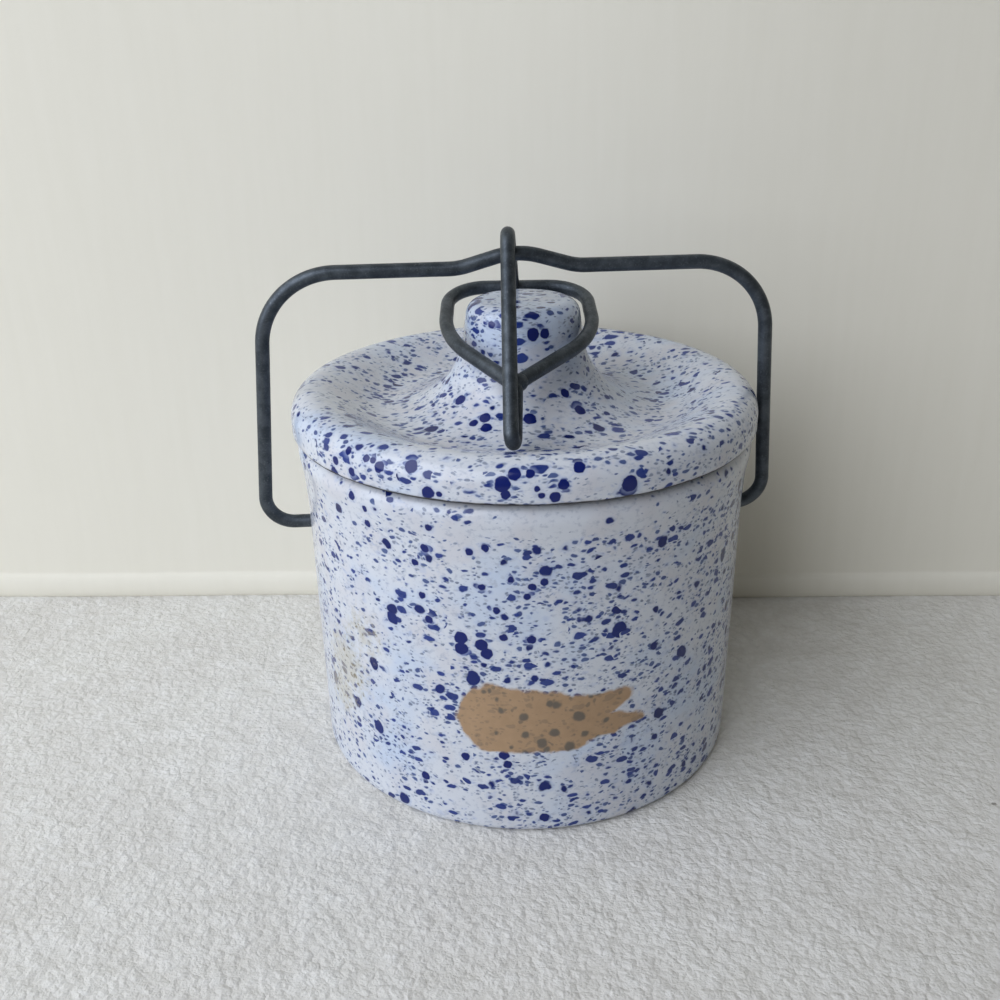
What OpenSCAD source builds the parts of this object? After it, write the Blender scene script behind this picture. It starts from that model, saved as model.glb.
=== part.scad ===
// Stoneware crock with a wire-bail lid, all sizes in millimetres.
// X runs along the hinge line of the bail, -Y is the front, Z is up, the base rests on z = 0.

/* [Crock] */
// Height of the crock from the table to the top of its rim
crock_h = 74.9; // [70:0.1:80]
// Outside diameter of the body at the level of the hinge holes
crock_d = 95.6; // [94:0.1:97]
// Thickness of the wall
crock_wall = 5; // [4.5:0.1:5.4]
// Thickness of the floor
crock_floor = 6; // [4.5:0.1:8]
// Radius of the rounded bottom edge
foot_round = 2.5; // [1.5:0.1:4]
// How much wider the rim is than the body, on the radius
rim_flare = 1.3; // [0.8:0.1:1.5]
// Radius of the rounded outer edge of the rim
rim_round = 2.2; // [1.5:0.1:2.6]
// How much the rim narrows the mouth, on the radius
rim_lip = 1.3; // [0.5:0.1:1.8]

/* [Lid] */
// How much wider the lid is than the crock, on the radius
lid_over = 2.2; // [1.8:0.1:3]
// Height of the rolled rim of the lid
lid_edge_h = 7.9; // [7:0.1:8.6]
// Open seam between the rim of the crock and the lid
lid_seam = 0.4; // [0.2:0.1:0.8]
// Depth of the hollow between the rolled rim and the knob
lid_trough = 5.1; // [4.6:0.1:5.4]
// Diameter of the knob
knob_d = 25; // [24:0.1:25.4]
// Height of the knob top above the rolled rim
knob_rise = 17.7; // [17.2:0.1:18.2]
// Depth of the ring under the lid that centres it in the mouth
plug_h = 5.8; // [4:0.1:8]
// Gap between the centring ring and the mouth, on the radius
plug_clear = 1.3; // [0.8:0.1:1.8]
// Width of the centring ring
plug_wall = 6; // [5:0.1:8]

/* [Seal] */
// Thickness of the seal
seal_t = 2; // [1.5:0.1:3]
// Width of the flat band of the seal
seal_w = 5.2; // [4.6:0.1:5.5]
// Gap around the seal in its groove
seal_clear = 0.2; // [0.1:0.05:0.3]

/* [Bail] */
// Diameter of the wire of the bail and of the lever
wire_d = 3; // [2.8:0.05:3.1]
// Running gap of the bail ends in their holes, on the radius
hinge_clear = 0.1; // [0.05:0.01:0.1]
// Height of the hinge line below the rim
hinge_drop = 22.9; // [21:0.1:25]
// Length of each bail end inside the wall
hinge_grip = 3.3; // [2.8:0.1:3.5]
// Thickness of wall left behind each hinge hole
hinge_web = 1.3; // [1.1:0.1:1.6]
// Gap between the nearer leg of the bail and the rim of the lid
leg_clear = 0.5; // [0.4:0.1:1]
// How far each leg leans outward at its foot
leg_splay = 5; // [4.4:0.1:5.4]
// How far the bail sits to the right of the middle
bail_shift = -1.6; // [-1.7:0.1:-1.4]
// Height of the cross wire above the top of the knob
bail_over = 7.7; // [7.5:0.1:8]
// Lean of the bail toward the front in degrees
bail_lean = 5.4; // [5:0.1:5.8]
// Half width of the hump in the middle of the bail
hump_w = 12; // [11.6:0.1:12.4]
// Slope of the sides of the hump in degrees
hump_slope = 16.2; // [15.8:0.1:16.6]
// Bend radius of the upper corners of the bail
bail_bend = 16; // [15:0.1:17]
// Bend radius of the bail above its turned-in ends
foot_bend = 6; // [5:0.1:7]

/* [Lever] */
// Slope of the ring of the lever down to the front in degrees
ring_slope = 13; // [12.6:0.1:13.4]
// Small turn of the lever about the upright line in degrees
ring_skew = 4; // [3:0.1:5]
// Gap between the left side of the ring and the knob
ring_left = 2.2; // [2:0.1:2.4]
// Gap between the right side of the ring and the knob
ring_right = 0.8; // [0.7:0.05:1]
// Gap between the cross wire of the ring and the knob behind
ring_back = 1.2; // [1.1:0.05:1.3]
// Level of the cross wire of the ring below the top of the knob
ring_drop = 1.1; // [0.9:0.1:1.3]
// Distance of the front of the ring from the middle
ring_front = 26.2; // [26:0.1:26.6]
// Bend radius of the sides of the ring
ring_bend = 14.8; // [14:0.1:15.6]
// Bend radius of the rear corners of the ring
ring_corner = 7.2; // [6.6:0.1:7.8]
// Gap between the lever and the hump of the bail
loop_clear = 0.8; // [0.7:0.05:0.9]
// Lean of the finger loop from upright in degrees
loop_lean = 40.5; // [40.1:0.1:40.9]
// Height of the outer corner of the finger loop above the bottom of the hollow
loop_rise = 4.6; // [4.3:0.1:5]
// Spacing of the two strands of the finger loop
loop_w = 4.2; // [4:0.05:4.4]

/* [Hidden] */
$fn = 96;
foot_inset = 0.6;
foot_turn = 75;
flare_h = 15;
floor_round = 4;
floor_turn = 15;
crock_r = crock_d / 2;
inner_r = crock_r - crock_wall;
mouth_r = inner_r - rim_lip;
lid_r = crock_r + lid_over;
lid_z = crock_h + lid_seam;
edge_r = 5;
lid_top = lid_z + lid_edge_h;
trough_z = lid_top - lid_trough;
trough_r = 30;
knob_r = knob_d / 2;
knob_z = lid_top + knob_rise;
neck_z = knob_z - 5.9;
knob_round = 2.1;
plug_r = mouth_r - plug_clear;
plug_z = lid_z - plug_h;
lid_edge_round = 0.5;
seal_in = plug_r + seal_clear;
seal_out = seal_in + seal_w;
seal_z = crock_h + seal_t;
wire_r = wire_d / 2;
hinge_z = crock_h - hinge_drop;
hole_in = inner_r + hinge_web;
foot_in = crock_r - hinge_grip;
bail_rise = knob_z + bail_over - hinge_z;
leg_share = (knob_z + bail_over - lid_top) / bail_rise;
leg_top = lid_r + leg_clear + wire_r - bail_shift - leg_splay * leg_share;
leg_foot = leg_top + leg_splay;
bar_v = bail_rise / cos(bail_lean);
hump_bend = 16;
hump_side = 14;
hump_v = bar_v + hump_w * tan(hump_slope);
crest_v = hump_v - hump_bend * (1 / cos(hump_slope) - 1);
crest_y = -crest_v * sin(bail_lean);
crest_z = hinge_z + crest_v * cos(bail_lean);
bar_y = knob_r + ring_back + wire_r;
bar_z = knob_z - ring_drop;
left_x = -knob_r - ring_left - wire_r;
right_x = knob_r + ring_right + wire_r;
left_y = -4.7;
right_y = -5.3;
arm_x = -0.5;
arm_y = -24.3;
ring_x = -0.3;
loop_r = wire_d + loop_clear;
loop_turn = 1.8;
weld_r = wire_r + 0.35;
bend_thin = 0.01;
bend_into = 0.06;

function unit(v) = v / norm(v);
function arc_pts(c, r, a0, a1, n) =
    [for (i = [0:n]) c + r * [cos(a0 + (a1 - a0) * i / n), sin(a0 + (a1 - a0) * i / n)]];
function flare_pts(n) =
    [for (i = [1:n]) [
        trough_r - (trough_r - knob_r - 0.1) * cos(90 * i / n),
        neck_z - (neck_z - trough_z) * sin(90 * i / n)]];
function rise_pts(n) =
    [for (i = [1:n]) [
        trough_r + (lid_r - edge_r - trough_r) * i / n,
        trough_z + lid_trough * pow(i / n, 2) * (3 - 2 * i / n)]];
function ring_z(y) = bar_z - (bar_y - y) * tan(ring_slope);
function skewed(p) = [
    ring_x + p[0] * cos(ring_skew) + p[1] * sin(ring_skew),
    p[1] * cos(ring_skew) - p[0] * sin(ring_skew),
    p[2]];
function bail_pt(u, v) = [u, -v * sin(bail_lean), hinge_z + v * cos(bail_lean)];

// The bent middle line of the bail with the bend radius at each corner.
bail_path = [
    bail_pt(-foot_in, 0),
    bail_pt(bail_shift - leg_foot, 0),
    bail_pt(bail_shift - leg_top, bar_v),
    bail_pt(bail_shift - hump_w, bar_v),
    bail_pt(bail_shift, hump_v),
    bail_pt(bail_shift + hump_w, bar_v),
    bail_pt(bail_shift + leg_top, bar_v),
    bail_pt(bail_shift + leg_foot, 0),
    bail_pt(foot_in, 0)];
bail_bends = [0, foot_bend, bail_bend, hump_side, hump_bend, hump_side, bail_bend, foot_bend, 0];

// The finger loop lies in one upright plane: front strand, arc over the hump, rear strand.
loop_dir = [-sin(loop_lean), -cos(loop_lean)];
loop_out = [-cos(loop_lean), sin(loop_lean)];
crest = [crest_y, crest_z];
loop_top = crest + loop_r * loop_out;
loop_len = (loop_top[1] - trough_z - loop_rise) / cos(loop_lean);
tip = loop_top + loop_len * loop_dir;
tip_back = tip - loop_w * loop_out;
bar = [bar_y, bar_z];
bar_dir = unit(bar - crest);
rear_a = asin(loop_r / norm(bar - crest));
rear_dir = [
    bar_dir[0] * cos(rear_a) + bar_dir[1] * sin(rear_a),
    bar_dir[1] * cos(rear_a) - bar_dir[0] * sin(rear_a)];
rear_out = [-rear_dir[1], rear_dir[0]];
arch = crest + loop_r * unit(loop_out + rear_out) / cos(acos(loop_out * rear_out) / 2);
lever_path = [for (p = [
    [arm_x, arm_y, ring_z(arm_y)],
    [right_x, right_y, ring_z(right_y)],
    [right_x, bar_y, bar_z],
    [left_x, bar_y, bar_z],
    [left_x, left_y, ring_z(left_y)],
    [-1.8, -ring_front, ring_z(-ring_front)],
    [-2.15, tip_back[0], tip_back[1]],
    [-2.85, tip[0], tip[1]],
    [-2.85, arch[0], arch[1]],
    [-1.6, bar_y, bar_z]]) skewed(p)];
lever_bends = [0, ring_bend, ring_corner, ring_corner, ring_bend, 1.9, loop_turn, loop_turn,
    loop_r, 0];

// Half the turn of the middle line at corner i.
function half_turn(p, i) = acos(unit(p[i] - p[i - 1]) * unit(p[i + 1] - p[i])) / 2;
function trim(p, b, i) = b[i] == 0 ? 0 : b[i] * tan(half_turn(p, i));

// One straight run of wire from a to b.
module wire_run(a, b) {
    z = unit(b - a);
    x = unit(cross(abs(z[2]) > 0.9 ? [1, 0, 0] : [0, 0, 1], z));
    y = cross(z, x);
    multmatrix([
        [x[0], y[0], z[0], a[0]],
        [x[1], y[1], z[1], a[1]],
        [x[2], y[2], z[2], a[2]]])
        cylinder(h = norm(b - a), r = wire_r);
}

// One bend of wire at corner b, between the runs from a and to c. It is a hair thinner than
// the runs, as drawn wire is where it is bent, and reaches a little way into them.
module wire_bend(a, b, c, r, half) {
    u = unit(a - b);
    w = unit(c - b);
    m = b + unit(u + w) * r / cos(half);
    x = unit(b + u * r * tan(half) - m);
    z = unit(cross(w, u));
    y = cross(z, x);
    into = bend_into / r * 180 / PI;
    multmatrix([
        [x[0], y[0], z[0], m[0]],
        [x[1], y[1], z[1], m[1]],
        [x[2], y[2], z[2], m[2]]])
        rotate([0, 0, -into])
            rotate_extrude(angle = 2 * half + 2 * into)
                translate([r, 0])
                    circle(r = wire_r - bend_thin);
}

module bent_wire(p, b) {
    for (i = [0:len(p) - 2])
        wire_run(
            p[i] + unit(p[i + 1] - p[i]) * trim(p, b, i),
            p[i + 1] - unit(p[i + 1] - p[i]) * trim(p, b, i + 1));
    for (i = [1:len(p) - 2])
        wire_bend(p[i - 1], p[i], p[i + 1], b[i], half_turn(p, i));
}

module crock_body() {
    color([0.80, 0.81, 0.82])
        difference() {
            rotate_extrude()
                polygon(concat(
                    [[0, 0], [crock_r - foot_round - foot_inset, 0]],
                    arc_pts([crock_r - foot_round - foot_inset, foot_round],
                        foot_round, -foot_turn, 0, 5),
                    [[crock_r, hinge_z],
                     [crock_r + 0.15 * rim_flare, crock_h - flare_h],
                     [crock_r + 0.4 * rim_flare, crock_h - 0.6 * flare_h],
                     [crock_r + 0.75 * rim_flare, crock_h - flare_h / 3]],
                    arc_pts([crock_r + rim_flare - rim_round, crock_h - rim_round],
                        rim_round, 0, 90, 6),
                    [[mouth_r + 0.8, crock_h],
                     [mouth_r, crock_h - 0.8],
                     [mouth_r, crock_h - flare_h / 3],
                     [inner_r, crock_h - 0.6 * flare_h],
                     [inner_r, crock_floor + floor_round]],
                    arc_pts([inner_r - floor_round, crock_floor + floor_round],
                        floor_round, -floor_turn, -90, 5),
                    [[0, crock_floor]]));
            translate([hole_in, 0, hinge_z])
                rotate([0, 90, 0])
                    cylinder(h = crock_wall + 2, r = wire_r + hinge_clear);
            translate([-hole_in, 0, hinge_z])
                rotate([0, -90, 0])
                    cylinder(h = crock_wall + 2, r = wire_r + hinge_clear);
        }
}

module lid() {
    color([0.80, 0.81, 0.82])
        rotate_extrude()
            polygon(concat(
                [[0, lid_z - 1.7],
                 [plug_r - plug_wall, lid_z - 1.7],
                 [plug_r - plug_wall, plug_z],
                 [plug_r - 0.8, plug_z],
                 [plug_r, plug_z + 0.8],
                 [plug_r, seal_z],
                 [seal_out + seal_clear, seal_z],
                 [seal_out + seal_clear, lid_z],
                 [lid_r - lid_edge_round, lid_z]],
                arc_pts([lid_r - lid_edge_round, lid_z + lid_edge_round],
                    lid_edge_round, -60, 0, 2),
                arc_pts([lid_r - edge_r, lid_top - edge_r], edge_r, 0, 80, 8),
                [for (i = [0:11]) rise_pts(12)[11 - i]],
                [[trough_r, trough_z]],
                [for (i = [1:15]) flare_pts(16)[15 - i]],
                [[knob_r + 0.1, neck_z],
                 [knob_r, knob_z - 5.3],
                 [knob_r - 0.35, knob_z - 3.7]],
                arc_pts([knob_r - 2.9, knob_z - 2.5], knob_round, 12, 80, 5),
                [[knob_r - 4.5, knob_z - 0.4],
                 [4, knob_z - 0.1],
                 [0, knob_z]]));
}

module gasket() {
    color([0.16, 0.16, 0.17])
        translate([0, 0, crock_h])
            difference() {
                cylinder(h = seal_t, r = seal_out);
                translate([0, 0, -1])
                    cylinder(h = seal_t + 2, r = seal_in);
            }
}

module bail() {
    color([0.22, 0.25, 0.28])
        bent_wire(bail_path, bail_bends);
}

module clamp_lever() {
    color([0.24, 0.27, 0.30])
        union() {
            bent_wire(lever_path, lever_bends);
            translate(lever_path[9])
                sphere(r = weld_r);
        }
}

crock_body();
lid();
gasket();
bail();
clamp_lever();
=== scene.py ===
"""Looks of a small speckled stoneware crock with a wire bail and a wire clamp lever.

Lengths in this file's tables are millimetres, and MM turns them into metres.
"""

import math

import bpy
import numpy as np
from mathutils import Matrix


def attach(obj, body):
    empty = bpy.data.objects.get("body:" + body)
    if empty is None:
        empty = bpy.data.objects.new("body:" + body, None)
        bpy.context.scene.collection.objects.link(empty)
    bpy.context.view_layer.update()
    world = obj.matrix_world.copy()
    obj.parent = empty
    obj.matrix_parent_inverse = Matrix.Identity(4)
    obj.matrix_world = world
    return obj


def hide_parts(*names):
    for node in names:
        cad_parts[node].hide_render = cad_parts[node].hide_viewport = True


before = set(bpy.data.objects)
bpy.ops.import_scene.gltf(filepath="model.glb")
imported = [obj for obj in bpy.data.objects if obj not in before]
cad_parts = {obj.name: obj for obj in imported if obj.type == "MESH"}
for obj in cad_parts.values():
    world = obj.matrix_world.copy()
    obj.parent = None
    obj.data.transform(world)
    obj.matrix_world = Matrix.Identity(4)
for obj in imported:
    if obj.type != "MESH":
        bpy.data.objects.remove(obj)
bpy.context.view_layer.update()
scene = bpy.context.scene
scene.view_settings.view_transform = "Standard"
MM = 0.001


# Camera: a phone held a little above the lid, 28 cm away, just left of the middle.
eye = (-21.28 * MM, -231.06 * MM, 156.5 * MM)
right = (0.9971, -0.0746, -0.0146)
up = (0.0433, 0.3995, 0.9157)
ahead = (0.0625, 0.9137, -0.4016)
camera = bpy.data.cameras.new("camera")
camera.sensor_width = 36
camera.lens = 40.34
camera.clip_start = 0.01
camera_object = bpy.data.objects.new("camera", camera)
camera_object.matrix_world = Matrix(
    [(right[i], up[i], -ahead[i], eye[i]) for i in range(3)] + [(0, 0, 0, 1)]
)
scene.collection.objects.link(camera_object)
scene.camera = camera_object


# Floor and backdrop: an off-white rough mat under the crock and a cream cloth hung behind it,
# which ends in a thick hem and is turned by 6 degrees. Neither is part of the object. The cloth has
# no back face, so that it doesn't hide the crock from behind.
def put(tree, kind, links=None, **props):
    """Adds a node, sets its properties, and wires or fills the inputs named in links."""
    n = tree.nodes.new(kind)
    for k, v in props.items():
        setattr(n, k, v)
    for k, v in (links or {}).items():
        if isinstance(v, bpy.types.NodeSocket):
            tree.links.new(v, n.inputs[k])
        else:
            n.inputs[k].default_value = v
    return n


def calc(tree, op, a, b=0.0, c=0.0, clamp=False):
    """One Math node: op of a, b and c, each a number or a socket."""
    return put(tree, "ShaderNodeMath", {0: a, 1: b, 2: c}, operation=op, use_clamp=clamp).outputs[0]


def vec(tree, op, a, b=(0, 0, 0), out=0, **more):
    """One Vector Math node: op of a and b, each three numbers or a socket."""
    links = {0: a, 1: b}
    links.update(more)
    return put(tree, "ShaderNodeVectorMath", links, operation=op).outputs[out]


def ramp(tree, value, low, high, start=0.0, end=1.0):
    """Smoothstep: start at or below low, end at or above high, 3t^2 - 2t^3 between."""
    return put(
        tree,
        "ShaderNodeMapRange",
        {"Value": value, "From Min": low, "From Max": high, "To Min": start, "To Max": end},
        interpolation_type="SMOOTHSTEP",
    ).outputs[0]


def mix(tree, share, a, b):
    """Colour a where share is 0 and b where it is 1."""
    n = put(tree, "ShaderNodeMix", {0: share}, data_type="RGBA")
    for socket, v in ((n.inputs[6], a), (n.inputs[7], b)):
        if isinstance(v, bpy.types.NodeSocket):
            tree.links.new(v, socket)
        else:
            socket.default_value = (*v, 1.0)
    return n.outputs[2]


def noise(tree, vector, scale, detail=2.0, rough=0.5, out=0):
    """Fractal noise of about scale features per unit of vector."""
    links = {"Vector": vector, "Scale": scale, "Detail": detail, "Roughness": rough}
    return put(tree, "ShaderNodeTexNoise", links).outputs[out]


def material(name):
    """A new material with one Principled shader: returns it, its tree and the shader."""
    m = bpy.data.materials.new(name)
    m.use_nodes = True
    return m, m.node_tree, m.node_tree.nodes["Principled BSDF"]


def roughen(tree, shader, height, strength, depth):
    """Tilts the shader's normal as a relief of height times depth, in metres, would."""
    links = {"Height": height, "Strength": strength, "Distance": depth}
    bump = put(tree, "ShaderNodeBump", links)
    tree.links.new(bump.outputs[0], shader.inputs["Normal"])


def millimetres(tree):
    """The point in the object's own frame, in millimetres."""
    where = tree.nodes.new("ShaderNodeTexCoord").outputs["Object"]
    return vec(tree, "SCALE", where, Scale=1000.0)


def grid_object(name, points, closed_u=False, closed_v=False, smooth=True):
    """A mesh over points[i, j, xyz]: quads between neighbours, wrapped where closed."""
    nu, nv = points.shape[:2]
    i, j = np.meshgrid(
        np.arange(nu if closed_u else nu - 1), np.arange(nv if closed_v else nv - 1), indexing="ij"
    )
    a = i * nv + j
    b = ((i + 1) % nu) * nv + j
    c = ((i + 1) % nu) * nv + (j + 1) % nv
    d = i * nv + (j + 1) % nv
    quads = np.stack([a, b, c, d], -1).reshape(-1, 4)
    mesh = bpy.data.meshes.new(name)
    mesh.vertices.add(nu * nv)
    mesh.vertices.foreach_set("co", (points.reshape(-1, 3) * MM).astype(np.float32).ravel())
    mesh.loops.add(quads.size)
    mesh.loops.foreach_set("vertex_index", quads.astype(np.int32).ravel())
    mesh.polygons.add(len(quads))
    mesh.polygons.foreach_set("loop_start", np.arange(0, quads.size, 4, dtype=np.int32))
    mesh.polygons.foreach_set("use_smooth", np.full(len(quads), smooth))
    mesh.update()
    mesh.validate()
    o = bpy.data.objects.new(name, mesh)
    scene.collection.objects.link(o)
    return o


# The mat's pile is a cell pattern of 2 mm, with painted shade in its hollows and painted shade
# towards the near right. It has a few crumbs.
mat_material, tree, shader = material("mat")
mm = millimetres(tree)
grain = noise(tree, mm, 1.1, 4.0, 0.6)
stir = vec(tree, "SUBTRACT", noise(tree, mm, 0.5, 2.0, out=1), (0.5, 0.5, 0.5))
stirred = vec(tree, "ADD", mm, vec(tree, "SCALE", stir, Scale=2.6))
pile = put(tree, "ShaderNodeTexVoronoi", {"Vector": stirred, "Scale": 0.5}).outputs["Distance"]
tufts = noise(tree, mm, 0.14, 4.0, 0.6)
lumps = noise(tree, mm, 0.03, 3.0)
shader.inputs["Roughness"].default_value = 0.95
tone = mix(tree, ramp(tree, lumps, 0.3, 0.7), (0.725, 0.71, 0.672), (0.765, 0.755, 0.715))
tone = mix(tree, ramp(tree, tufts, 0.34, 0.52, 0.22, 0.0), tone, (0.58, 0.56, 0.51))
tone = mix(tree, ramp(tree, tufts, 0.50, 0.68, 0.0, 0.35), tone, (0.86, 0.86, 0.84))
# Painted shade: the pile is darker in the hollows between its cells, where its height is lowest.
tone = mix(tree, ramp(tree, pile, 0.25, 0.8, 0.0, 0.22), tone, (0.54, 0.52, 0.47))
# Painted shade: the mat is darkened towards the near right, where less lamp light falls.
painted_shade_toward_corner = vec(tree, "DOT_PRODUCT", mm, (0.6, -0.8, 0.0), out=1)
tone = mix(tree, ramp(tree, painted_shade_toward_corner, 50.0, 180.0, 0.0, 0.6), tone, (0.54, 0.52, 0.49))
crumbs = put(tree, "ShaderNodeTexVoronoi", {"Vector": mm, "Scale": 0.045})
here = put(tree, "ShaderNodeSeparateColor", {0: crumbs.outputs["Color"]})
crumb = calc(tree, "MULTIPLY_ADD", grain, 0.06, crumbs.outputs["Distance"])
crumb = ramp(tree, crumb, 0.045, 0.06, 0.7, 0.0)
crumb = calc(tree, "MULTIPLY", crumb, calc(tree, "LESS_THAN", here.outputs[0], 0.4))
tone = mix(tree, crumb, tone, (0.10, 0.09, 0.07))
tree.links.new(tone, shader.inputs["Base Color"])
height = calc(tree, "MULTIPLY_ADD", pile, -0.7, calc(tree, "MULTIPLY", grain, 0.6))
height = calc(tree, "MULTIPLY_ADD", tufts, 1.2, height)
roughen(tree, shader, height, 0.55, 0.001)

cloth_material, tree, shader = material("cloth")
mm = millimetres(tree)
weave = noise(tree, vec(tree, "MULTIPLY", mm, (0.35, 0.35, 0.03)), 1.0, 3.0)
shader.inputs["Roughness"].default_value = 0.95
tone = mix(tree, weave, (0.78, 0.752, 0.645), (0.815, 0.787, 0.685))
tree.links.new(tone, shader.inputs["Base Color"])
back_side = tree.nodes.new("ShaderNodeNewGeometry").outputs["Backfacing"]
tree.links.new(calc(tree, "SUBTRACT", 1.0, back_side), shader.inputs["Alpha"])

half_wide, floor_front, floor_back = 900, -700, 300
x, y = np.meshgrid((-half_wide, 0, half_wide), np.linspace(floor_front, floor_back, 3), indexing="ij")
floor = grid_object("floor", np.stack([x, y, 0 * x], -1))
floor.data.materials.append(mat_material)
cloth_tall, cloth_back = 700, 56
cloth_along, cloth_away = 0.9945, 0.1045
hem_tall, hem_thick = 7.5, 1.5
rows = np.r_[np.linspace(0, 20, 60), np.linspace(22, cloth_tall, 40)]
along, rise = np.meshgrid(np.linspace(-half_wide, half_wide, 91), rows, indexing="ij")
from_middle = (rise - hem_tall / 2) / (hem_tall / 2)
hem = hem_thick * np.sqrt(np.clip(1 - from_middle**2, 0, 1))
folds = 1.2 * np.sin(along / 47 + 0.8) * np.clip(rise / 60, 0, 1) + 0.8 * np.sin(along / 29)
back_y = cloth_back - along * cloth_away - hem - folds
backdrop = grid_object("backdrop", np.stack([along * cloth_along, back_y, rise - 0.4], -1))
backdrop.data.materials.append(cloth_material)


# Light: a broad window at the front left, and a room that is dimmer overhead and to the right.
world = bpy.data.worlds.new("room")
world.use_nodes = True
room = world.node_tree
room.nodes["Background"].inputs[0].default_value = (1.0, 0.975, 0.925, 1.0)
facing = room.nodes.new("ShaderNodeTexCoord").outputs["Generated"]
facing = vec(room, "DOT_PRODUCT", facing, (-0.75, 0.1, -0.35), out=1)
room.links.new(ramp(room, facing, -0.8, 0.8, 0.115, 0.23), room.nodes["Background"].inputs[1])
scene.world = world

lamp = bpy.data.lights.new("window", "AREA")
lamp.shape = "RECTANGLE"
lamp.size = 1.2
lamp.size_y = 1.1
lamp.energy = 13.8
lamp.color = (0.85, 0.895, 1.0)
lamp_turn, lamp_lift, lamp_far = math.radians(-55), math.radians(32), 1.05
level = math.cos(lamp_lift)
toward = (level * math.sin(lamp_turn), -level * math.cos(lamp_turn), math.sin(lamp_lift))
side = np.cross((0, 0, 1), toward) / level
above = np.cross(toward, side)
lamp_at = np.array(toward) * lamp_far + (0, 0, 0.05)
window = bpy.data.objects.new("window", lamp)
window.matrix_world = Matrix(
    [(side[i], above[i], toward[i], lamp_at[i]) for i in range(3)] + [(0, 0, 0, 1)]
)
scene.collection.objects.link(window)


# crock_body: the thrown pot, white glazed stoneware with cobalt spatter, and a bare patch of clay
# in front where the glaze has crawled off. It stands on its flat base, and holds the ends of the
# bail in two blind holes.
foot_r, wall_r, rim_r, mouth_r, inside_r = 44.7, 47.4, 49.1, 41.5, 42.8
rim_z, floor_z = 74.9, 6
hole_z, hole_depth, hole_r, hole_slope = 52.0, 3.6, 1.8, 0.2


def rounded(points, bends, step):
    """Line through points with a circular bend of radius bends[i] at corner i, and its lengths.

    The bend starts r tan(turn / 2) before the corner and ends as far after it."""
    p = np.array(points, float)
    out = [p[0]]
    for i in range(1, len(p) - 1):
        u = (p[i - 1] - p[i]) / np.linalg.norm(p[i - 1] - p[i])
        w = (p[i + 1] - p[i]) / np.linalg.norm(p[i + 1] - p[i])
        half = (math.pi - math.acos(max(-1.0, min(1.0, float(u @ w))))) / 2
        if bends[i] == 0 or half < 1e-4:
            out.append(p[i])
            continue
        middle = p[i] + (u + w) / np.linalg.norm(u + w) * bends[i] / math.cos(half)
        e0 = p[i] + u * bends[i] * math.tan(half) - middle
        e1 = p[i] + w * bends[i] * math.tan(half) - middle
        for k in np.linspace(0, 1, max(6, int(2 * half * bends[i] / step) + 2)):
            out.append(
                middle
                + (math.sin((1 - k) * 2 * half) * e0 + math.sin(k * 2 * half) * e1)
                / math.sin(2 * half)
            )
    out.append(p[-1])
    out = np.array(out)
    length = np.r_[0, np.cumsum(np.linalg.norm(np.diff(out, axis=0), axis=1))]
    keep = np.r_[True, np.diff(length) > 1e-6]
    return out[keep], length[keep]


def sampled(line, length, at):
    """The points of a line at the given lengths along it."""
    return np.stack([np.interp(at, length, line[:, k]) for k in range(line.shape[1])], -1)


def ripple(angle, height, seed):
    """Slow unevenness of thrown clay: a few waves round and up, between -1 and 1."""
    rng = np.random.default_rng(seed)
    total = 0.0
    for turns in (1, 2, 3, 5):
        phase, lean, tall = rng.uniform(0, 6.28), rng.uniform(-0.02, 0.02), rng.uniform(18, 60)
        total = total + np.cos(turns * angle + phase + lean * height) * np.cos(
            height / tall * 6.28 + rng.uniform(0, 6.28)
        ) / turns
    return total / 2.1


def turned(profile, bends, step, angles, extra_rows=(), uneven=0.0, seed=1, cut=None):
    """A surface of revolution of a rounded profile of (radius, height), slightly uneven inward.

    The radius is less by up to uneven, and cut(angle, radius, height) may sink holes in it."""
    line, length = rounded(profile, bends, step / 2)
    at = np.unique(np.r_[np.arange(0, length[-1], step), length[-1], extra_rows])
    rows = sampled(line, length, at)
    a, r = np.meshgrid(angles, rows[:, 0], indexing="ij")
    z = np.broadcast_to(rows[:, 1], a.shape)
    fade = np.clip((r - 6) / 10, 0, 1)
    r = r - uneven * (0.5 + 0.5 * ripple(a, z, seed)) * fade
    if cut is not None:
        r = cut(a, r, z)
    return np.stack([r * np.sin(a), -r * np.cos(a), z], -1)


def group(name, inputs, outputs):
    """A new node group with those sockets: returns it, its input node and its output node."""
    g = bpy.data.node_groups.new(name, "ShaderNodeTree")
    for label, kind in inputs:
        g.interface.new_socket(label, in_out="INPUT", socket_type="NodeSocket" + kind)
    for label, kind in outputs:
        g.interface.new_socket(label, in_out="OUTPUT", socket_type="NodeSocket" + kind)
    return g, g.nodes.new("NodeGroupInput"), g.nodes.new("NodeGroupOutput")


def fill(tree, g, links):
    """One node of group g: links names its inputs."""
    return put(tree, "ShaderNodeGroup", links, node_tree=g)


# Round drops cut from balls scattered one to a cell, each with its own size, in a share of the
# cells. Mask is the drop, Halo is its pale bleed into the glaze, and Tint is a number of its own.
spots, enter, leave = group(
    "spots",
    [("Vector", "Vector"), ("Cell", "Float"), ("Radius", "Float"), ("Share", "Float")],
    [("Mask", "Float"), ("Halo", "Float"), ("Tint", "Float")],
)
cells = put(spots, "ShaderNodeTexVoronoi", {"Vector": enter.outputs["Vector"]})
spots.links.new(calc(spots, "DIVIDE", 1.0, enter.outputs["Cell"]), cells.inputs["Scale"])
own = put(spots, "ShaderNodeSeparateColor", {0: cells.outputs["Color"]})
far = calc(spots, "MULTIPLY", cells.outputs["Distance"], enter.outputs["Cell"])
size = calc(spots, "MULTIPLY_ADD", calc(spots, "POWER", own.outputs[0], 2.0), 0.9, 0.6)
size = calc(spots, "MULTIPLY", size, enter.outputs["Radius"])
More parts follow.
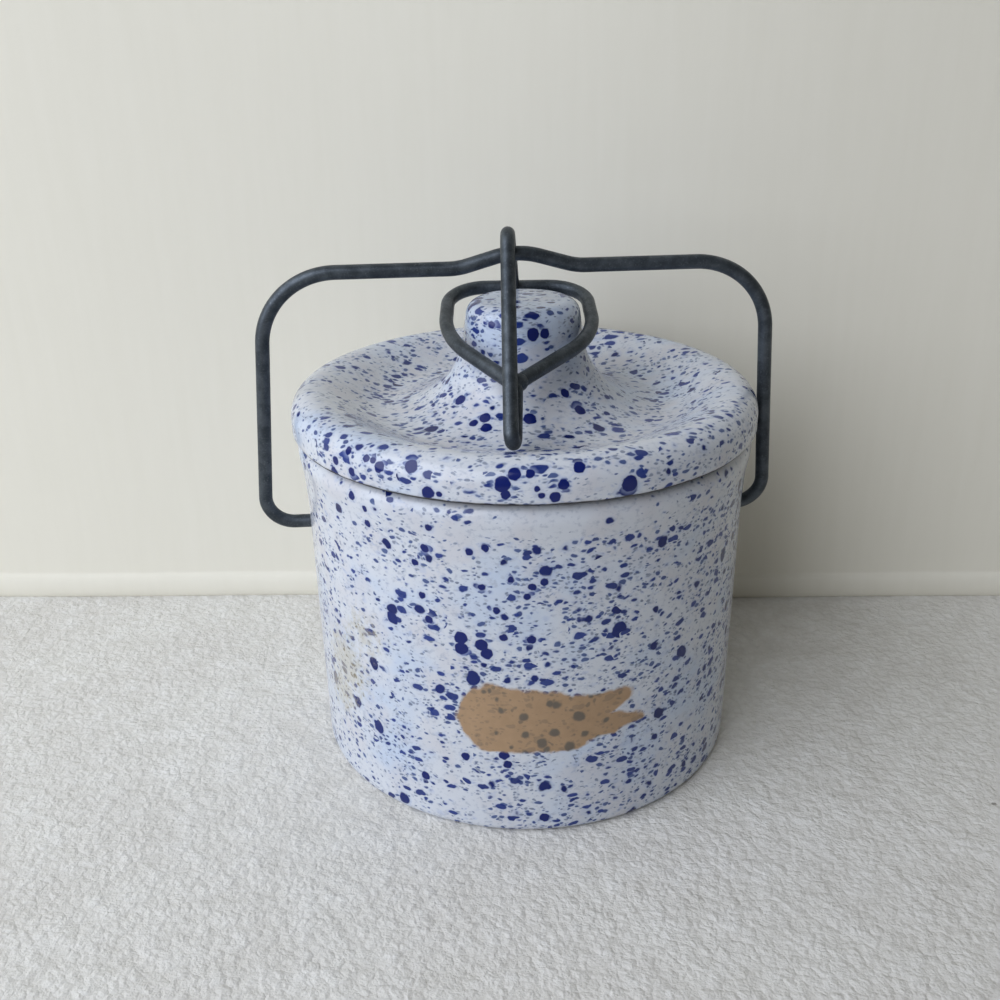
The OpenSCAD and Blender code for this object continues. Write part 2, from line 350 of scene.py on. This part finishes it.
edge = calc(spots, "MULTIPLY_ADD", enter.outputs["Radius"], 0.06, 0.09)
there = calc(spots, "LESS_THAN", own.outputs[1], enter.outputs["Share"])
inner, outer = calc(spots, "SUBTRACT", size, edge), calc(spots, "ADD", size, edge)
mask = ramp(spots, far, inner, outer, 1.0, 0.0)
halo = ramp(spots, far, size, calc(spots, "MULTIPLY", size, 1.7), 1.0, 0.0)
spots.links.new(calc(spots, "MULTIPLY", mask, there), leave.inputs["Mask"])
spots.links.new(calc(spots, "MULTIPLY", halo, there), leave.inputs["Halo"])
spots.links.new(own.outputs[2], leave.inputs["Tint"])

# The glaze of crock and lid: milky white, blue where it pools, with four sizes of spatter. Near is
# the distance in millimetres to the edge of the nearest of the largest drops, which are listed, and
# Thin is where there is little spatter.
glaze, enter, leave = group(
    "spattered_glaze",
    [("Vector", "Vector"), ("Near", "Float"), ("Pool", "Float"), ("Thin", "Float")],
    [("Color", "Color"), ("Cobalt", "Float"), ("Height", "Float")],
)
mm = enter.outputs["Vector"]
slow = vec(glaze, "SUBTRACT", noise(glaze, mm, 0.30, 1.0, out=1), (0.5, 0.5, 0.5))
fast = vec(glaze, "SUBTRACT", noise(glaze, mm, 0.9, 1.0, out=1), (0.5, 0.5, 0.5))
warped = vec(glaze, "ADD", mm, vec(glaze, "SCALE", slow, Scale=1.6))
warped = vec(glaze, "ADD", warped, vec(glaze, "SCALE", fast, Scale=0.5))
flat = vec(glaze, "MULTIPLY", warped, (0.9, 0.9, 1.5))
crowd = noise(glaze, mm, 0.09, 2.0)
crowd = ramp(glaze, crowd, 0.34, 0.66, 0.5, 1.5)
crowd = calc(glaze, "MULTIPLY", crowd, calc(glaze, "SUBTRACT", 1.0, enter.outputs["Thin"]))
pale = noise(glaze, vec(glaze, "MULTIPLY", mm, (0.7, 0.7, 1.0)), 0.07, 3.0)
pale = calc(glaze, "MAXIMUM", ramp(glaze, pale, 0.50, 0.72), enter.outputs["Pool"])
tone = mix(glaze, calc(glaze, "MULTIPLY", pale, 0.6), (0.60, 0.63, 0.68), (0.44, 0.55, 0.72))
ash = ramp(glaze, noise(glaze, mm, 0.12, 2.0), 0.45, 0.65)
tone = mix(glaze, calc(glaze, "MULTIPLY", ash, 0.5), tone, (0.56, 0.55, 0.58))
mist = noise(glaze, vec(glaze, "MULTIPLY", mm, (1.0, 1.0, 1.4)), 0.8, 3.0, 0.6)
tone = mix(glaze, ramp(glaze, mist, 0.50, 0.72, 0.0, 0.6), tone, (0.34, 0.38, 0.47))
cobalt = 0.0
for place, cell, radius, share, dark, light, depth in (
    (flat, 0.95, 0.30, 0.36, (0.10, 0.125, 0.18), (0.24, 0.27, 0.33), 0.8),
    (flat, 1.6, 0.48, 0.42, (0.018, 0.04, 0.17), (0.055, 0.095, 0.24), 0.92),
    (flat, 2.8, 0.84, 0.54, (0.005, 0.019, 0.14), (0.017, 0.040, 0.21), 0.97),
    (warped, 4.8, 1.08, 0.30, (0.003, 0.011, 0.10), (0.006, 0.018, 0.14), 1.0),
):
    chance = calc(glaze, "MULTIPLY", crowd, share)
    links = {"Vector": place, "Cell": cell, "Radius": radius, "Share": chance}
    layer = fill(glaze, spots, links)
    clear = calc(glaze, "MULTIPLY_ADD", cobalt, -0.4, 0.4)
    bleed = calc(glaze, "MULTIPLY", layer.outputs["Halo"], clear)
    tone = mix(glaze, bleed, tone, (0.34, 0.42, 0.62))
    tint = mix(glaze, layer.outputs["Tint"], dark, light)
    tone = mix(glaze, calc(glaze, "MULTIPLY", layer.outputs["Mask"], depth), tone, tint)
    cobalt = calc(glaze, "MAXIMUM", cobalt, layer.outputs["Mask"])
wobble = vec(glaze, "DOT_PRODUCT", fast, (1, 1, 1), out=1)
near = calc(glaze, "MULTIPLY_ADD", wobble, 0.35, enter.outputs["Near"])
drop = ramp(glaze, near, -0.1, 0.12, 1.0, 0.0)
tone = mix(glaze, ramp(glaze, near, 0.0, 0.9, 0.4, 0.0), tone, (0.36, 0.43, 0.62))
tone = mix(glaze, drop, tone, (0.004, 0.012, 0.12))
cobalt = calc(glaze, "MAXIMUM", cobalt, drop)
glaze.links.new(tone, leave.inputs["Color"])
glaze.links.new(cobalt, leave.inputs["Cobalt"])
swell = calc(glaze, "ADD", noise(glaze, mm, 0.12, 2.0), calc(glaze, "MULTIPLY", cobalt, 0.04))
glaze.links.new(swell, leave.inputs["Height"])


def nearest(tree, mm, places):
    """Distance to the nearest of balls (x, y, z, radius), less its radius."""
    least = None
    for x, y, z, radius in places:
        gap = calc(tree, "SUBTRACT", vec(tree, "DISTANCE", mm, (x, y, z), out=1), radius)
        least = gap if least is None else calc(tree, "MINIMUM", least, gap)
    return least


# Distance to a tapered bar between two points, for the outline of the bare patch.
bar_shape, enter, leave = group(
    "tapered_bar",
    [("Point", "Vector"), ("Start", "Vector"), ("End", "Vector")]
    + [("R Start", "Float"), ("R End", "Float")],
    [("Distance", "Float")],
)
from_start = vec(bar_shape, "SUBTRACT", enter.outputs["Point"], enter.outputs["Start"])
span = vec(bar_shape, "SUBTRACT", enter.outputs["End"], enter.outputs["Start"])
reach = vec(bar_shape, "DOT_PRODUCT", from_start, span, out=1)
whole = vec(bar_shape, "DOT_PRODUCT", span, span, out=1)
reach = calc(bar_shape, "DIVIDE", reach, whole, clamp=True)
foot = vec(bar_shape, "SCALE", span, Scale=reach)
gap = vec(bar_shape, "LENGTH", vec(bar_shape, "SUBTRACT", from_start, foot), out=1)
thick = put(
    bar_shape,
    "ShaderNodeMapRange",
    {"Value": reach, "To Min": enter.outputs["R Start"], "To Max": enter.outputs["R End"]},
).outputs[0]
bar_shape.links.new(calc(bar_shape, "SUBTRACT", gap, thick), leave.inputs["Distance"])

crock_material, tree, shader = material("crock_glaze")
mm = millimetres(tree)
axes = put(tree, "ShaderNodeSeparateXYZ", {0: mm})
turn = calc(tree, "ARCTAN2", axes.outputs[0], calc(tree, "MULTIPLY", axes.outputs[1], -1.0))
along_wall = calc(tree, "MULTIPLY", turn, wall_r)
wall = put(tree, "ShaderNodeCombineXYZ", {0: along_wall, 1: axes.outputs[2]}).outputs[0]
rag = vec(tree, "SUBTRACT", noise(tree, mm, 0.35, 3.0, out=1), (0.5, 0.5, 0.5))
rag_z = put(tree, "ShaderNodeSeparateXYZ", {0: rag}).outputs[2]
ragged = vec(tree, "ADD", wall, vec(tree, "MULTIPLY", rag, (2.6, 2.6, 0.0)))
outline = None
for start, end, r_start, r_end in (
    ((-10.3, 28.3, 0), (4.5, 27.0, 0), 7.9, 6.5),
    ((6.0, 29.2, 0), (16.0, 31.4, 0), 4.2, 1.8),
    ((6.0, 26.0, 0), (19.6, 25.2, 0), 4.6, 1.0),
):
    links = {"Point": ragged, "Start": start, "End": end, "R Start": r_start, "R End": r_end}
    one = fill(tree, bar_shape, links).outputs[0]
    outline = one if outline is None else calc(tree, "MINIMUM", outline, one)
in_front = calc(tree, "LESS_THAN", axes.outputs[1], 0.0)
bare = calc(tree, "MULTIPLY", ramp(tree, outline, -0.5, 0.45, 1.0, 0.0), in_front)
# Dots on the clay: place round the wall from the front, height, 0 and radius.
clay_dots = (
    (-9.2, 30.4, 0, 0.67), (-4.8, 29.1, 0, 0.88), (0.6, 31.9, 0, 0.84), (1.9, 31.6, 0, 0.84),
    (6.3, 28.2, 0, 1.17), (8.8, 32.8, 0, 0.54), (10.2, 33.1, 0, 0.54), (1.2, 25, 0, 1),
    (-4.4, 24.8, 0, 0.84), (7.5, 23.8, 0, 0.77), (10.2, 22.4, 0, 0.52), (-1.1, 22.5, 0, 1.04),
    (0, 21.1, 0, 0.75), (4.4, 21.3, 0, 1), (-4.6, 20.3, 0, 0.75), (-12.6, 34.5, 0, 0.5),
    (-11.3, 34.7, 0, 0.5), (-7.3, 21.8, 0, 0.42), (-10, 24.9, 0, 0.42), (11.9, 26.4, 0, 0.63),
    (8.8, 21, 0, 0.42), (-9.8, 32.7, 0, 0.38),
)
blurred = vec(tree, "ADD", wall, vec(tree, "MULTIPLY", rag, (1.6, 1.6, 0.0)))
dots = ramp(tree, nearest(tree, blurred, clay_dots), -0.3, 0.35, 0.9, 0.0)
# The spatter is denser from the middle to the right, and nearly missing under the rim in front.
under_rim = ramp(tree, axes.outputs[2], 66.0, 69.5)
off_middle = calc(tree, "ABSOLUTE", calc(tree, "SUBTRACT", axes.outputs[0], 4.0))
under_rim = calc(tree, "MULTIPLY", under_rim, ramp(tree, off_middle, 14.0, 22.0, 1.0, 0.45))
dense = ramp(tree, axes.outputs[0], -36.0, 0.0, 0.0, -0.6)
thin = calc(tree, "MULTIPLY_ADD", under_rim, calc(tree, "SUBTRACT", 0.92, dense), dense)
# The crock's largest drops: x, y, z and radius.
crock_drops = (
    (-16.5, -44.7, 46.1, 1.35), (-16.4, -44.6, 43.8, 1.35), (-12.6, -45.9, 45, 1.3),
    (-11.6, -46.1, 43.2, 1.2), (-21.5, -43, 69.3, 1.0), (-22.5, -42.2, 64.4, 0.9),
    (-24.6, -41, 61, 0.75), (-14.4, -45.6, 65, 0.85), (-11.6, -46.9, 66, 0.75), (-22.3, -42, 49, 0.85),
    (-23.4, -41.4, 54, 0.75), (-12.2, -46, 57.7, 0.75), (-6.8, -47, 59.5, 0.75), (-3, -47.5, 58, 0.8),
    (-0.8, -47.6, 59, 0.85), (-3.9, -47.3, 56, 0.75), (-9.7, -46.6, 52.8, 0.75),
    (-8.4, -46.8, 47, 0.85), (-3.1, -47.4, 46.6, 0.95), (-33.4, -35, 70, 0.8),
    (-31.4, -36.8, 70.6, 0.7), (-33.4, -35, 66.6, 0.8), (-36.2, -33.1, 71.7, 0.9),
    (-16.4, -44.7, 18.3, 0.95), (-24.7, -40.7, 11.1, 1.0), (-8.7, -46.8, 19.6, 1.1),
    (-8, -46.9, 17.4, 0.95), (-0.6, -47.4, 4, 1.05),
)
# Where the glaze pools blue, and the yellow stain at the left, in the same way.
crock_pools = (
    (-12, -46, 54, 6), (-4, -47, 50, 5), (6, -47, 58, 5), (18, -44, 16, 9), (30, -37, 26, 8),
)
pool = calc(tree, "MULTIPLY", ramp(tree, nearest(tree, mm, crock_pools), -4.0, 3.0, 1.0, 0.0), 0.8)
look = fill(tree, glaze, {
    "Vector": mm, "Near": nearest(tree, mm, crock_drops), "Pool": pool, "Thin": thin,
})
stain_places = ((-40, -25, 30, 7), (-42, -22, 22, 6), (-36, -31, 40, 4))
stain = calc(tree, "SUBTRACT", nearest(tree, mm, stain_places), 12.0)
stain = calc(tree, "MULTIPLY_ADD", noise(tree, mm, 0.6, 4.0, 0.7), 24.0, stain)
stained = ramp(tree, stain, -5.0, 3.0, 0.5, 0.0)
glazed = mix(tree, stained, look.outputs["Color"], (0.46, 0.42, 0.29))
flecks = ramp(tree, noise(tree, mm, 0.9, 2.0), 0.56, 0.66)
crust = calc(tree, "MULTIPLY", ramp(tree, stain, -4.0, 0.0, 0.8, 0.0), flecks)
glazed = mix(tree, crust, glazed, (0.17, 0.14, 0.08))
clay = mix(tree, noise(tree, mm, 0.5, 4.0, 0.6), (0.32, 0.21, 0.118), (0.43, 0.285, 0.17))
blot = ramp(tree, noise(tree, vec(tree, "ADD", mm, (9, 4, 0)), 0.55, 1.0), 0.64, 0.74, 0.0, 0.6)
blot = calc(tree, "MAXIMUM", blot, calc(tree, "MULTIPLY", look.outputs["Cobalt"], 0.32))
blot = calc(tree, "MAXIMUM", blot, dots)
clay = mix(tree, blot, clay, (0.115, 0.102, 0.085))
skin = mix(tree, bare, glazed, clay)
# Painted shade: the rim's top darkens under the lid's edge, wavering by the same noise as the bare
# patch.
painted_shade_under_lid = calc(tree, "MULTIPLY_ADD", rag_z, 1.2, axes.outputs[2])
skin = mix(tree, ramp(tree, painted_shade_under_lid, 73.9, 75.2, 0.0, 0.75), skin, (0.10, 0.085, 0.075))
tree.links.new(skin, shader.inputs["Base Color"])
tree.links.new(ramp(tree, bare, 0.0, 1.0, 0.15, 0.4), shader.inputs["Roughness"])
shader.inputs["Specular IOR Level"].default_value = 0.35
height = calc(tree, "MULTIPLY_ADD", bare, -0.25, look.outputs["Height"])
roughen(tree, shader, height, 0.35, 0.0008)


def drill(a, r, z):
    """Sinks the two bail holes into the wall: (hole_r - distance) / hole_slope, from 0 to 1."""
    side = np.where(np.sin(a) > 0, math.pi / 2, -math.pi / 2)
    off = np.abs(np.angle(np.exp(1j * (a - side))))
    near = np.hypot(off * r, z - hole_z)
    sink = np.clip((hole_r - near) / hole_slope, 0, 1)
    return np.where(r > foot_r + 0.3, r - hole_depth * sink, r)


crock_profile = [
    (0.05, 0), (foot_r, 0), (47.25, 0.1), (47.3, 4), (47.8, hole_z), (47.9, 60), (48.35, 66.5),
    (rim_r, 71), (rim_r, rim_z), (mouth_r, rim_z), (mouth_r, 69.5), (inside_r, 65.5),
    (inside_r, floor_z), (0.05, floor_z),
]
crock_bends = [0, 1.0, 2.0, 20, 120, 40, 25, 6, 3.3, 0.8, 3, 3, 4, 0]
to_hole, hole_span = 100.4, 2.6
hole_rows = np.linspace(to_hole - hole_span, to_hole + hole_span, 27)
around = np.linspace(-math.pi, math.pi, 241)[:-1]
close = np.linspace(-0.055, 0.055, 27)
around = np.unique(np.r_[around, close + math.pi / 2, close - math.pi / 2])
body = grid_object(
    "crock_body_glazed",
    turned(crock_profile, crock_bends, 0.8, around, hole_rows, 0.12, 3, drill),
    closed_u=True,
)
body.data.materials.append(crock_material)
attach(body, "crock")
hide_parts("crock_body")


# lid: thrown, with a rolled rim, a hollow and a flared knob, glazed as the crock but for a near-black
# band along the edge it stands on. Its centring ring sits loosely in the mouth.
lid_r, lid_low, lid_high = 50, 75.3, 83.2
ring_in, ring_out, ring_low, under_z, groove_r, groove_z = 34.2, 40.2, 69.5, 73.6, 45.8, 76.9
hollow_r, hollow_z, flare_wide, flare_tall = 30, 78.1, 17.4, 16.9
lip_from, lip_to = 75.9, 76.3
lid_material, tree, shader = material("lid_glaze")
mm = millimetres(tree)
# The lid's largest drops: x, y, z and radius.
lid_drops = (
    (-21.6, -45.1, 76.8, 1.25), (-19.5, -46, 76.8, 0.55), (-8.4, -49.1, 79.5, 1.5),
    (-7.8, -49.4, 77.6, 0.9), (-6.2, -48.6, 81.2, 1.2), (-3.4, -48.8, 81.2, 0.8),
    (-2.3, -49.9, 78.7, 0.6), (-1.5, -50, 77.4, 0.7), (0.9, -50, 77, 1.05), (2.4, -49.8, 79.3, 1.0),
    (-30.3, -39.4, 79.9, 1.1), (-31.4, -38, 80.7, 0.7), (-32.6, -37, 80.7, 0.8),
    (-35.7, -35, 77.4, 0.9), (-38.8, -31.5, 78.4, 0.9), (-36.1, -33.4, 81, 0.8),
    (-24.3, -42.6, 81, 1.3), (14.7, -47.8, 78, 1.55), (0.9, -12.3, 96.4, 1.3), (3.3, -12, 96.3, 1.05),
    (-1.8, -7, 100.6, 0.8), (-7.3, -9.5, 97.9, 0.8), (-14.1, -11.2, 82.7, 1.2), (-9.4, -17.9, 81, 1.2),
    (-11.8, -18.3, 80.1, 0.95), (-9.4, -20.4, 79.8, 1.2), (-0.6, -20, 81.2, 1.35),
    (7.2, -14.7, 84.6, 1.0), (10, -16.8, 81.5, 1.2), (5.4, -48.1, 81.8, 1.1),
)
# The lid's drops are stretched along x, and come from another part of the noise than the crock's.
long = vec(tree, "ADD", vec(tree, "MULTIPLY", mm, (0.82, 1.08, 1.08)), (300.0, 120.0, 50.0))
axes = put(tree, "ShaderNodeSeparateXYZ", {0: mm})
look = fill(tree, glaze, {
    "Vector": long, "Near": nearest(tree, mm, lid_drops),
    "Pool": ramp(tree, axes.outputs[2], 86.0, 96.0), "Thin": -0.5,
})
lip = calc(tree, "MULTIPLY_ADD", noise(tree, mm, 0.25, 3.0), 0.7, axes.outputs[2])
# A near-black band along the lowest millimetre of the lid, wavering by noise.
near_black_edge = ramp(tree, lip, lip_from, lip_to, 0.95, 0.0)
skin = mix(tree, near_black_edge, look.outputs["Color"], (0.018, 0.016, 0.015))
tree.links.new(skin, shader.inputs["Base Color"])
tree.links.new(ramp(tree, lip, lip_from, lip_to, 0.7, 0.15), shader.inputs["Roughness"])
shader.inputs["Specular IOR Level"].default_value = 0.35
roughen(tree, shader, look.outputs["Height"], 0.35, 0.0008)

flare = [
    (hollow_r - flare_wide * math.cos(t), hollow_z + flare_tall * (1 - math.sin(t)))
    for t in np.linspace(0.08, 1.45, 14)
]
slope = [
    (hollow_r + 15 * t, hollow_z + (lid_high - hollow_z) * t * t * (3 - 2 * t))
    for t in np.linspace(0.1, 0.93, 9)
]
lid_profile = (
    [(0.05, under_z), (ring_in, under_z), (ring_in, ring_low), (ring_out, ring_low)]
    + [(ring_out, groove_z), (groove_r, groove_z), (groove_r, lid_low)]
    + [(lid_r, lid_low), (lid_r, lid_high), (45.2, lid_high)]
    + slope[::-1]
    + [(hollow_r, hollow_z)]
    + flare[::-1]
    + [(12.4, 96.0), (11.7, 100.7), (4, 100.85), (0.05, 100.88)]
)
lid_bends = [0, 1.5, 0.5, 0.8, 0.3, 0.1, 0.4, 0.5, 4.8, 3]
lid_bends += [3] * len(slope) + [4] + [6] * len(flare) + [6, 3.2, 20, 0]
around = np.linspace(-math.pi, math.pi, 361)[:-1]
cover_points = turned(lid_profile, lid_bends, 0.6, around, uneven=0.1, seed=7)
cover = grid_object("lid_glazed", cover_points, closed_u=True)
cover.data.materials.append(lid_material)
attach(cover, "lid")
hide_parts("lid")


# gasket: a flat ring of dark rubber with a pale bloom. It lies in the groove under the lid, which
# presses it on the rim. It keeps its CAD mesh.
seal_material, tree, shader = material("seal")
mm = millimetres(tree)
bloom = noise(tree, mm, 0.4, 4.0, 0.6)
tone = mix(tree, ramp(tree, bloom, 0.4, 0.7), (0.018, 0.018, 0.020), (0.05, 0.05, 0.052))
tree.links.new(tone, shader.inputs["Base Color"])
tree.links.new(ramp(tree, bloom, 0.3, 0.7, 0.6, 0.8), shader.inputs["Roughness"])
roughen(tree, shader, noise(tree, mm, 4.0, 2.0), 0.3, 0.0001)
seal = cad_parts["gasket"]
seal.data.materials.clear()
seal.data.materials.append(seal_material)


# bail: the wire handle, drawn steel gone dark with oxide. Its turned-in ends sit in the holes in
# the wall.
wire_look, enter, leave = group(
    "oxidised_wire",
    [("Vector", "Vector")],
    [("Color", "Color"), ("Roughness", "Float"), ("Height", "Float")],
)
mm = enter.outputs["Vector"]
cloud = noise(wire_look, mm, 0.35, 4.0, 0.6)
fine = noise(wire_look, mm, 2.6, 4.0, 0.65)
cloud = ramp(wire_look, cloud, 0.35, 0.68)
tone = mix(wire_look, cloud, (0.045, 0.055, 0.066), (0.085, 0.10, 0.115))
tone = mix(wire_look, ramp(wire_look, fine, 0.56, 0.74, 0.0, 0.5), tone, (0.20, 0.22, 0.235))
wire_look.links.new(tone, leave.inputs["Color"])
wire_look.links.new(ramp(wire_look, fine, 0.3, 0.7, 0.52, 0.36), leave.inputs["Roughness"])
wire_look.links.new(fine, leave.inputs["Height"])


def wire_material(name):
    """Dark satin steel with light scratches and a little grain."""
    m, tree, shader = material(name)
    look = fill(tree, wire_look, {"Vector": millimetres(tree)})
    tree.links.new(look.outputs["Color"], shader.inputs["Base Color"])
    tree.links.new(look.outputs["Roughness"], shader.inputs["Roughness"])
    shader.inputs["Metallic"].default_value = 0.75
    roughen(tree, shader, look.outputs["Height"], 0.25, 0.0002)
    return m


wire_r = 1.485


def swept(points, bends, radius, step=0.35, sides=20):
    """A round wire along a bent line: c + radius (cos(a) n + sin(a) b), with n and b square to it.

    n is carried on from ring to ring, and the last ring at each end is shrunk, which closes it."""
    line, length = rounded(points, bends, step / 2)
    at = np.linspace(0, length[-1], int(length[-1] / step) + 2)
    c = sampled(line, length, at)
    t = np.gradient(c, axis=0)
    t /= np.linalg.norm(t, axis=1, keepdims=True)
    n = np.cross(t[0], (0.3, 0.2, 1.0))
    n /= np.linalg.norm(n)
    rings = []
    for i in range(len(c)):
        n = n - t[i] * (n @ t[i])
        n /= np.linalg.norm(n)
        b = np.cross(t[i], n)
        a = np.linspace(0, 2 * math.pi, sides, endpoint=False)[:, None]
        rings.append(c[i] + radius * (np.cos(a) * n + np.sin(a) * b))
    first = [c[0] + (rings[0] - c[0]) * s for s in (0.02, 0.9)]
    last = [c[-1] + (rings[-1] - c[-1]) * s for s in (0.9, 0.02)]
    return np.array(first + rings + last)


bail_points = [
    (-44.5, 0, hole_z), (-57.96, 0, hole_z), (-52.96, -5.35, 108.6), (-13.6, -5.35, 108.6),
    (-1.6, -5.68, 112.07), (10.4, -5.35, 108.6), (49.76, -5.35, 108.6), (54.76, 0, hole_z),
    (44.5, 0, hole_z),
]
bail_bends = [0, 6, 16, 14, 16, 14, 16, 6, 0]
handle = grid_object("bail_wire", swept(bail_points, bail_bends, wire_r), closed_v=True)
handle.data.materials.append(wire_material("bail_wire"))
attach(handle, "bail")
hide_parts("bail")


# clamp_lever: the second steel wire, a ring round the knob and a finger loop over the hump of the
# bail. Its two ends are welded to it, behind the knob and in front of it.
lever_points = [
    (-2.49, -24.21, 90.68), (14.3, -8.2, 94.6), (15.0, 14.13, 99.8), (-14.9, 16.29, 99.8),
    (-16.8, -6.0, 94.65), (-3.92, -26.01, 90.24), (-4.67, -31.71, 79.97), (-5.59, -34.85, 82.7),
    (-3.57, -5.92, 116.66), (-0.84, 15.27, 99.8),
]
lever_bends = [0, 22, 8.5, 8.5, 26, 1.9, 1.8, 1.8, 3.8, 0]
swept_lever = swept(lever_points, lever_bends, wire_r, 0.3)
lever = grid_object("clamp_lever_wire", swept_lever, closed_v=True)
bead_r = 1.8
turns = np.linspace(0, 2 * math.pi, 33)[:-1]
rises = np.linspace(-1.55, 1.55, 17)
turns, rises = np.meshgrid(turns, rises, indexing="ij")
ball = np.stack([np.cos(turns) * np.cos(rises), np.sin(turns) * np.cos(rises), np.sin(rises)], -1)
ball = ball * (bead_r + 0.06 * np.cos(3 * turns) * np.cos(rises))[..., None]
back_bead = grid_object("clamp_lever_weld", ball + lever_points[9], closed_u=True)
front_weld = (-3.2, -25.1, 90.5)
front_bead = grid_object("clamp_lever_front_weld", ball + front_weld, closed_u=True)
lever_material = wire_material("lever_wire")
for one in (lever, back_bead, front_bead):
    one.data.materials.append(lever_material)
    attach(one, "lever")
    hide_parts("clamp_lever")
